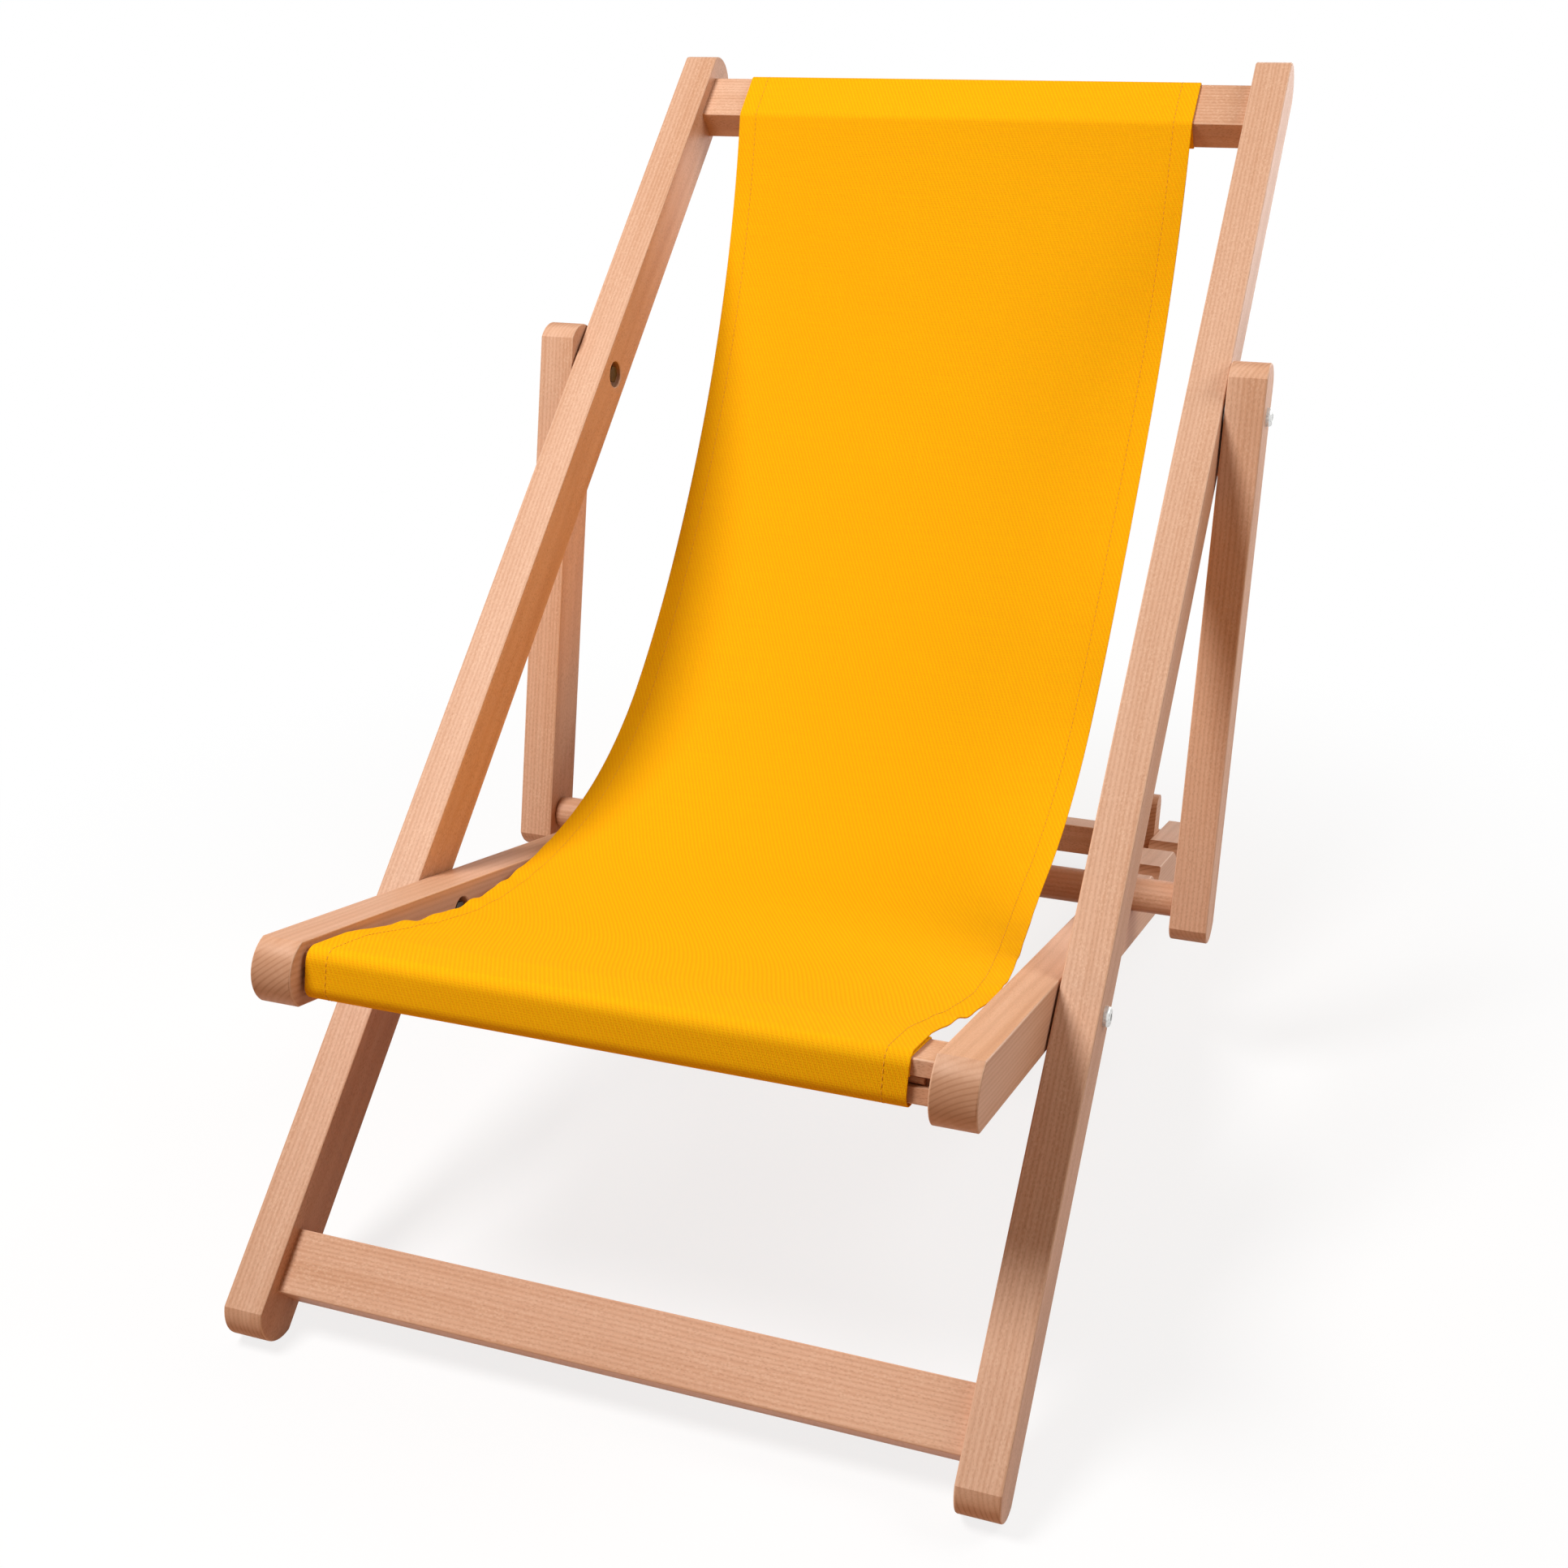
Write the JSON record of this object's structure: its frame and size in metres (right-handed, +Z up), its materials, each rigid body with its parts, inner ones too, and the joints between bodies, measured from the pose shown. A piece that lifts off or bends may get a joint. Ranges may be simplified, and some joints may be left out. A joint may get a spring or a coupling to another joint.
{
  "type": "deck chair",
  "caption": "Folding wooden deck chair: hinged back and seat frames, swinging props whose round bar rests in notches of the seat frame, and a hanging canvas sling.",
  "frame": {"origin": "on the floor, under the middle of the chair's box", "axes": "+Z up, the sitter faces -Y, +X is the right-hand side seen from the front"},
  "size_m": [0.6218, 0.949, 0.7672],
  "materials": {
    "beech": "sanded, clear oiled",
    "zinc_steel": "zinc plated",
    "canvas": "plain woven canvas"
  },
  "bodies": {
    "back_frame": {"back_stile_left": "beech", "back_stile_right": "beech", "top_rail": "beech", "bottom_rail": "beech", "top_rail_dowels": "beech", "bottom_rail_dowels": "beech", "top_fabric_rod": "beech", "seat_pivot_bolts": "zinc_steel", "seat_pivot_nuts": "zinc_steel", "seat_pivot_washers": "zinc_steel", "prop_pivot_bolts": "zinc_steel", "prop_pivot_nuts": "zinc_steel", "prop_pivot_washers": "zinc_steel", "sling": "canvas"},
    "seat_frame": {"seat_stile_left": "beech", "seat_stile_right": "beech", "front_rail": "beech", "rear_rail": "beech", "front_rail_dowels": "beech", "rear_rail_dowels": "beech", "front_fabric_rod": "beech", "bar_stop_left": "beech", "bar_stop_right": "beech", "stop_screws": "zinc_steel", "prop_bar": "beech"},
    "props": {"prop_left": "beech", "prop_right": "beech", "bar_nails": "zinc_steel"}
  },
  "joints": [
    {"name": "seat_pivot", "type": "hinge", "parent": "back_frame", "child": "seat_frame", "pos_m": [0, -0.20872, 0.21712], "axis": [1, 0, 0], "range_deg": [0, 42.5], "deforming": ["sling"]},
    {"name": "prop_pivot", "type": "hinge", "parent": "back_frame", "child": "props", "pos_m": [0, 0.18605, 0.53205], "axis": [-1, 0, 0], "range_deg": [0, 25.2]}
  ],
  "couplings": [
    {"joint": "prop_pivot", "follows": "seat_pivot", "ratio": 0.5913}
  ]
}
